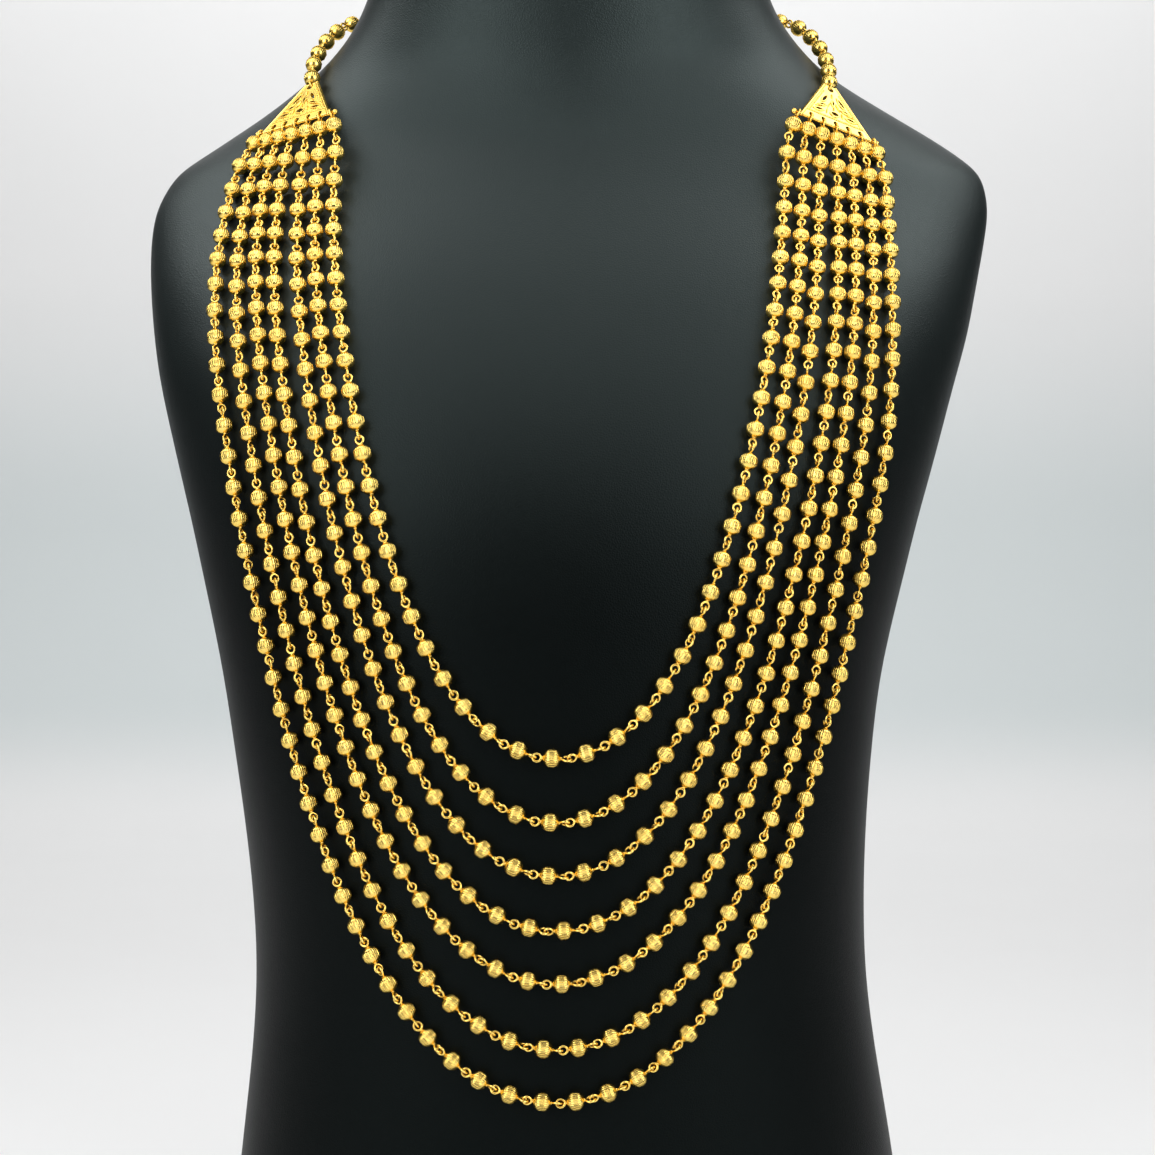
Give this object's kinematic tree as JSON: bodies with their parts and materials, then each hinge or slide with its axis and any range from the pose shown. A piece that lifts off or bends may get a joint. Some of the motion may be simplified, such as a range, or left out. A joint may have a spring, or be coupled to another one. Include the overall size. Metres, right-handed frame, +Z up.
{
  "type": "multi-strand ball necklace on a neck bust",
  "caption": "Several hanging strands of small gold balls between two pierced leaf-pattern end plates, closed behind the neck by ball strings and a barrel clasp, on a plain black neck bust.",
  "frame": {"origin": "middle of the bounding box at the foot of the bust, on the surface that it stands on", "axes": "+Z up, -Y the way the necklace faces, +X to the right as seen from the front"},
  "size_m": [0.2646, 0.1606, 0.44],
  "materials": {
    "bust_leather": "fine grained black leatherette, satin",
    "gold": "polished yellow gold"
  },
  "bodies": {
    "root": {"neck_bust": "bust_leather", "end_plate_left": "gold", "end_plate_right": "gold", "strand_1": "gold", "strand_2": "gold", "strand_3": "gold", "strand_4": "gold", "strand_5": "gold", "strand_6": "gold", "strand_7": "gold", "back_string_left": "gold", "back_string_right": "gold", "clasp": "gold"}
  },
  "joints": []
}
